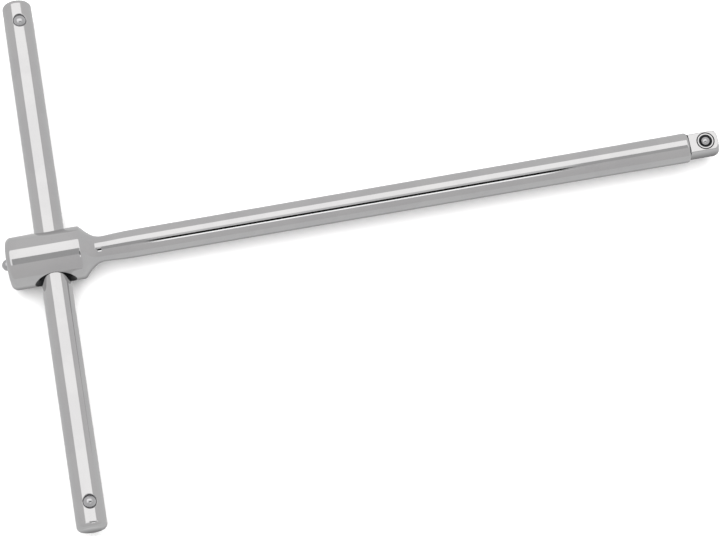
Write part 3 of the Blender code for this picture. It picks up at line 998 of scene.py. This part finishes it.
# %% Tip
swing = tip_stop - np.linspace(0, 1, 12)[:, None] * tip_stop
tip_points = SHANK.points(
    TIP - TIP_ROUND + TIP_ROUND * np.cos(swing), TIP_DISC_RADIUS + TIP_ROUND * np.sin(swing), section_turn
)
tip_normals = SHANK.vectors(np.cos(swing), np.sin(swing), section_turn)
shank.band(square_points[-1], square_normals[-1], tip_points[0], tip_normals[0], 4)
shank.add(tip_points, tip_normals, True)
tip_disc = straight((TIP, TIP_DISC_RADIUS), (TIP, 0.0), 5, side=1.0)
shank.turned(SHANK, tip_disc, section_turn, tip_points[-1])
print(f"tip at {TIP:.2f} mm, its flat disc {2 * TIP_DISC_RADIUS:.1f} mm across")

# %% [markdown]
# ## The drive ball's seat
#
# The ball is dropped into a drilled hole on a coil, and a ring-shaped staking tool then presses the
# steel round it over its edge. That leaves a small recess with a fine line round it. The flat is a
# plane, so its ring patch runs straight from the flat's border to the line.

# %% The seat in the square
STAKE_RADIUS = 3.1
STAKE_DEPTH = 0.48
RING_RADIUS = 4.0
RING_HALF = 0.27
RING_DEPTH = 0.16
DRIVE_LIP_RADIUS = 2.4
DRIVE_HOLE_RADIUS = 2.55
DRIVE_HOLE_FLOOR = -3.4
DRIVE_LIP_DEPTHS = (0.08, 0.4)
top_loop = block_loop(*top_block)
top_border = square_points[top_loop[:, 0], top_loop[:, 1]]
seat_turn = np.unwrap(np.arctan2(*((top_border - DRIVE_HOLE.origin)[:, [1, 0]].T)))
ring_edge = DRIVE_HOLE.points(SQUARE_HALF, RING_RADIUS + RING_HALF, seat_turn)
share = (np.linspace(0, 1, 8) ** 0.8)[:, None, None]
flat_patch = top_border + share * (ring_edge - top_border)
shank.add(flat_patch, np.broadcast_to(Z, flat_patch.shape), True)

print(f"seat: {len(seat_turn)} columns round it")

# %% The staked ring and recess
dip = np.linspace(0, math.pi, 9)
groove = np.column_stack(
    [SQUARE_HALF - RING_DEPTH * np.sin(dip), RING_RADIUS + RING_HALF * np.cos(dip), np.sin(dip), -np.cos(dip)]
)
# The groove takes the near-black steel: painted shade in the groove.
shank.turned(DRIVE_HOLE, groove, seat_turn, flat_patch[-1], finish=1)
land = straight((SQUARE_HALF, RING_RADIUS - RING_HALF), (SQUARE_HALF, STAKE_RADIUS + EDGE_BREAK), 4)
land_points = shank.turned(DRIVE_HOLE, land, seat_turn)
recess = straight((SQUARE_HALF - EDGE_BREAK, STAKE_RADIUS), (SQUARE_HALF - STAKE_DEPTH, STAKE_RADIUS), 3)
recess_rim = DRIVE_HOLE.points(SQUARE_HALF - EDGE_BREAK, STAKE_RADIUS, seat_turn)
up_normals = np.tile(Z, (len(seat_turn), 1))
shank.band(land_points[-1], up_normals, recess_rim, DRIVE_HOLE.vectors(0.0, -1.0, seat_turn), 3)
# The recess under the ring takes the near-black steel: painted shade in the recess.
shank.turned(DRIVE_HOLE, recess, seat_turn, finish=1)
print(f"ring {2 * RING_RADIUS:.1f} mm across, recess {STAKE_DEPTH} mm deep")

# %% The drilled hole under the lip
lip_height = SQUARE_HALF - STAKE_DEPTH
lip_foot, wall_top = (lip_height - depth for depth in DRIVE_LIP_DEPTHS)
# The drilled hole takes the near-black steel: painted shade inside it.
for start, end, count in (
    ((lip_height, STAKE_RADIUS), (lip_height, DRIVE_LIP_RADIUS), 3),
    ((lip_height, DRIVE_LIP_RADIUS), (lip_foot, DRIVE_LIP_RADIUS), 2),
    ((lip_foot, DRIVE_LIP_RADIUS), (wall_top, DRIVE_HOLE_RADIUS), 2),
    ((wall_top, DRIVE_HOLE_RADIUS), (DRIVE_HOLE_FLOOR, DRIVE_HOLE_RADIUS), 8),
    ((DRIVE_HOLE_FLOOR, DRIVE_HOLE_RADIUS), (DRIVE_HOLE_FLOOR, 0.0), 3),
):
    shank.turned(DRIVE_HOLE, straight(start, end, count), seat_turn, finish=1)
shank_mesh = shank.mesh("shank_forging", [chrome_shank, painted_shade_steel])
piece("shank_forging", shank_mesh, "shank", "shank")

# %% [markdown]
# ## Cross bar
#
# The bar is ground round rod with its ends rounded over. Near each end a hole holds a sprung ball,
# and the hole's edge is peened in to keep it there, which rounds the edge over. The bar rests turned
# by ten degrees in the bore, as nothing stops it from rolling, so its balls look a little towards the
# drive square.

# %% The bar's outside
BAR_COLUMNS = 96
BAR_TURNS = 2 * math.pi * np.arange(BAR_COLUMNS) / BAR_COLUMNS
BAR_BLOCK = 5.5
BAR_BLOCK_ROWS = 12
BAR_REACH = 11
LIP_HEIGHT = BAR_BALL_HEIGHT + 1.07
LIP_RADIUS = 3.08
BAR_HOLE_RADIUS = 3.4
WIDE_HEIGHT = 7.2
LIP_SLOPE = (BAR_HOLE_RADIUS - LIP_RADIUS) / (WIDE_HEIGHT - LIP_HEIGHT)
BAR_HOLE_FLOOR = -3.8
end_out = BAR_RADIUS - BAR_END_ROUND
block_low, block_high = BAR_BALL_PLACE - BAR_BLOCK, BAR_BALL_PLACE + BAR_BLOCK
bar_profile = joined(
    straight((-BAR_HALF, 0.0), (-BAR_HALF, end_out), 5),
    arc((-BAR_HALF + BAR_END_ROUND, end_out), BAR_END_ROUND, 180, 90, 14),
    straight((-BAR_HALF + BAR_END_ROUND, BAR_RADIUS), (-block_high, BAR_RADIUS), 3),
    straight((-block_high, BAR_RADIUS), (-block_low, BAR_RADIUS), BAR_BLOCK_ROWS + 1),
    straight((-block_low, BAR_RADIUS), (block_low, BAR_RADIUS), 41),
    straight((block_low, BAR_RADIUS), (block_high, BAR_RADIUS), BAR_BLOCK_ROWS + 1),
    straight((block_high, BAR_RADIUS), (BAR_HALF - BAR_END_ROUND, BAR_RADIUS), 3),
    arc((BAR_HALF - BAR_END_ROUND, end_out), BAR_END_ROUND, 90, 0, 14),
    straight((BAR_HALF, end_out), (BAR_HALF, 0.0), 5),
)
bar = Body()
bar_columns = (-BAR_REACH, BAR_REACH)
ball_rows = {
    side: int(np.argmin(np.abs(bar_profile[:, 0] - (side * BAR_BALL_PLACE - BAR_BLOCK))))
    for side in (1, -1)
}
bar_blocks = [((first, first + BAR_BLOCK_ROWS), bar_columns) for first in ball_rows.values()]
bar_keep = kept_cells((len(bar_profile) - 1, BAR_COLUMNS), bar_blocks)
bar.turned(BAR, bar_profile, BAR_TURNS, keep=bar_keep)
print(f"bar: {bar_keep.sum()} cells kept of {bar_keep.size}")

# %% The balls' two holes


def lip_radius(height, extra=0.0):
    """The peened hole's radius at a height over the bar's axis: it widens evenly from the lip up."""
    return LIP_RADIUS + extra + LIP_SLOPE * (height - LIP_HEIGHT)


def ball_hole(side):
    """The hole at one end of the bar: a ring patch up to its rim, the broken edge, lip and wall."""
    axis = bar_hole_axis(side)
    first = ball_rows[side]
    loop = block_loop((first, first + BAR_BLOCK_ROWS), bar_columns)
    place = bar_profile[loop[:, 0], 0]
    turn = 2 * math.pi * loop[:, 1] / BAR_COLUMNS
    round_hole = np.unwrap(np.arctan2(place - side * BAR_BALL_PLACE, BAR_RADIUS * np.sin(turn)))

    def rim_height(extra):
        def above(height):
            return height**2 + (lip_radius(height, extra) * np.cos(round_hole)) ** 2 - BAR_RADIUS**2

        return solve(above, np.full(len(turn), 5.0), np.full(len(turn), 7.1))

    wide = lip_radius(rim_height(PEENED_EDGE), PEENED_EDGE)
    rim_turn = np.arcsin(wide * np.cos(round_hole) / BAR_RADIUS)
    rim_place = side * BAR_BALL_PLACE + wide * np.sin(round_hole)
    border, edge = np.column_stack([place, turn]), np.column_stack([rim_place, rim_turn])
    rim = ring_fill(bar, BAR, BAR_RADIUS, border, edge, 7)
    inner_height = rim_height(0.0) - PEENED_EDGE * 0.6
    inner = axis.points(inner_height, lip_radius(inner_height), round_hole)
    slant = math.hypot(1.0, LIP_SLOPE)
    cone = axis.vectors(LIP_SLOPE / slant, -1.0 / slant, round_hole)
    bar.band(rim, BAR.vectors(0.0, 1.0, rim_turn), inner, cone, 6)
    lip = axis.points(LIP_HEIGHT, LIP_RADIUS, round_hole)
    bar.band(inner, cone, lip, cone, 2)
    under = straight((LIP_HEIGHT, LIP_RADIUS), (BAR_BALL_HEIGHT + 0.4, BAR_HOLE_RADIUS), 3)
    wall = straight((BAR_BALL_HEIGHT + 0.4, BAR_HOLE_RADIUS), (BAR_HOLE_FLOOR, BAR_HOLE_RADIUS), 8)
    bottom = straight((BAR_HOLE_FLOOR, BAR_HOLE_RADIUS), (BAR_HOLE_FLOOR, 0.0), 3)
    # The hole under the lip takes the near-black steel: painted shade inside the hole.
    for part in (under, wall, bottom):
        bar.turned(axis, part, round_hole, finish=1)


ball_hole(1)
ball_hole(-1)
piece("cross_bar", bar.mesh("cross_bar", [chrome_bar, painted_shade_steel]), "t_bar", "t_bar")

# %% [markdown]
# ## Balls
#
# These are hardened bearing balls. Each is a half circle turned round the axis it is pressed along.

# %% Four balls


def ball_piece(name, axis, height, radius, body, node_name):
    """A half circle from pole to pole, carried round an axis, at a height along it."""
    made = Body()
    half_circle = arc((height, 0.0), radius, 180, 0, 33)
    half_circle[[0, -1], 1] = 0.0
    made.turned(axis, half_circle, 2 * math.pi * np.arange(64) / 64)
    return piece(name, made.mesh(name, [ball_steel]), body, node_name)


ball_piece("drive_ball", DRIVE_HOLE, DRIVE_BALL_HEIGHT, DRIVE_BALL_RADIUS, "drive_ball", "drive_detent_ball")
ball_piece("upper_ball", bar_hole_axis(1), BAR_BALL_HEIGHT, BALL_RADIUS, "upper_ball", "upper_detent_ball")
ball_piece("lower_ball", bar_hole_axis(-1), BAR_BALL_HEIGHT, BALL_RADIUS, "lower_ball", "lower_detent_ball")
grip = (FRICTION_BALL_PLACE, FRICTION_BALL_RADIUS)
ball_piece("grip_ball", SHANK, *grip, "friction_ball", "hub_friction_ball")

# %% [markdown]
# ## Plug
#
# A steel plug closes the hub's end. Its flange is trapped under the peened edge of the hole, and its
# stem stands out with a turned dome on it. It is one profile with square corners, so each stretch of
# the profile is its own patch.

# %% Plug
flange_in, flange_out = PLUG_FLANGE
plug_stretches = [
    straight((flange_in, 0.0), (flange_in, PLUG_FLANGE_RADIUS), 4, side=-1),
    straight((flange_in, PLUG_FLANGE_RADIUS), (flange_out, PLUG_FLANGE_RADIUS), 3, side=-1),
    straight((flange_out, PLUG_FLANGE_RADIUS), (flange_out, PLUG_STEM_RADIUS), 2, side=-1),
    joined(
        straight((flange_out, PLUG_STEM_RADIUS), (PLUG_DOME_PLACE, PLUG_STEM_RADIUS), 4, side=-1),
        arc((PLUG_DOME_PLACE, 0.0), PLUG_STEM_RADIUS, 90, 180, 25),
    ),
]
plug = Body()
for stretch in plug_stretches:
    stretch[np.abs(stretch[:, 1]) < 1e-9, 1] = 0.0
    plug.turned(SHANK, stretch, 2 * math.pi * np.arange(64) / 64)
piece("domed_plug", plug.mesh("domed_plug", [ball_steel]), "shank", "hub_plug")

# %% [markdown]
# ## Coil springs
#
# A compression spring is wound with its first and last turns lying close, so that it stands square,
# and open turns between. The wire's middle follows a helix whose rise per turn changes, and the wire
# is a circle carried along it. As a ball sinks, the real coil under it has to shorten; here each coil
# keeps the length it is wound to.

# %% Springs
SPRING_CLEARANCE = 0.1
DRIVE_SPRING = (1.5, 0.22, 5)
BAR_SPRING = (2.1, 0.3, 5)
HUB_SPRING = (2.1, 0.3, 4)
print(f"wire {2 * DRIVE_SPRING[1]:.2f} mm for the drive ball, {2 * BAR_SPRING[1]:.2f} mm for the others")


def seat(ball_radius, coil, wire):
    """How far from a ball's centre the end turn that bears on it lies."""
    return math.sqrt((ball_radius + wire) ** 2 - coil**2) + SPRING_CLEARANCE


def coil_spring(name, axis, low, high, size, around=20, per_turn=40):
    """A wire circle along a helix of radius coil, which climbs by the share of turns that are open."""
    coil, wire, turns = size
    share = np.linspace(0, 1, turns * per_turn + 1)
    openness = np.clip(np.minimum(share, 1 - share) * turns - 0.6, 0, 0.6) / 0.6
    openness = openness**2 * (3 - 2 * openness)
    closed_rise = 2.1 * wire * turns / (high - low)
    rise = closed_rise + (1 - closed_rise) * openness / np.trapz(openness, share)
    climbed = np.concatenate([[0.0], np.cumsum((rise[1:] + rise[:-1]) / 2 * np.diff(share))])
    place = low + (high - low) * climbed / climbed[-1]
    angle = 2 * math.pi * turns * share
    middle = axis.points(place, coil, angle)
    outward = axis.vectors(0.0, 1.0, angle)
    run = np.gradient(middle, axis=0)
    run /= np.linalg.norm(run, axis=1, keepdims=True)
    outward -= np.sum(outward * run, axis=1, keepdims=True) * run
    outward /= np.linalg.norm(outward, axis=1, keepdims=True)
    aside = np.cross(run, outward)
    turn = 2 * math.pi * np.arange(around) / around
    ring = np.cos(turn)[None, :, None] * outward[:, None] + np.sin(turn)[None, :, None] * aside[:, None]
    made = Body()
    tube = middle[:, None] + MM * wire * ring
    made.add(tube, ring, True)
    for end, side in ((0, -1), (-1, 1)):
        cap = np.stack([tube[end], np.tile(middle[end], (around, 1))])
        made.add(cap, np.tile(side * run[end], (2, around, 1)), True)
    return made.mesh(name, [wire_steel])


def fitted_spring(name, axis, low, high, size, body, node_name):
    """A spring in place, wound between its low and high ends along an axis, and moving with its body."""
    made = piece(name, coil_spring(name, axis, low, high, size), body, node_name)
    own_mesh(made)


# %% The four springs
fitted_spring(
    "drive_coil", DRIVE_HOLE, DRIVE_HOLE_FLOOR + DRIVE_SPRING[1] + SPRING_CLEARANCE,
    DRIVE_BALL_HEIGHT - seat(DRIVE_BALL_RADIUS, *DRIVE_SPRING[:2]), DRIVE_SPRING,
    "shank", "drive_detent_spring",
)
for side, label in ((1, "upper"), (-1, "lower")):
    fitted_spring(
        f"{label}_coil", bar_hole_axis(side), BAR_HOLE_FLOOR + BAR_SPRING[1] + SPRING_CLEARANCE,
        BAR_BALL_HEIGHT - seat(BALL_RADIUS, *BAR_SPRING[:2]), BAR_SPRING,
        "t_bar", f"{label}_detent_spring",
    )
fitted_spring(
    "hub_coil", SHANK, flange_in + HUB_SPRING[1] + SPRING_CLEARANCE,
    FRICTION_BALL_PLACE - seat(FRICTION_BALL_RADIUS, *HUB_SPRING[:2]), HUB_SPRING,
    "shank", "hub_friction_spring",
)

# %% [markdown]
# ## Sizes
#
# The looks must stay inside the size that the CAD model fixed, so both boxes are printed.

# %% Sizes
boxes = {"cad": [list(c) for c in cad_box], "visual": [list(c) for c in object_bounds()]}
spans = {k: [round(1000 * (h - l), 2) for l, h in zip(*v)] for k, v in boxes.items()}
print("CAD box and visual box, mm:", spans)
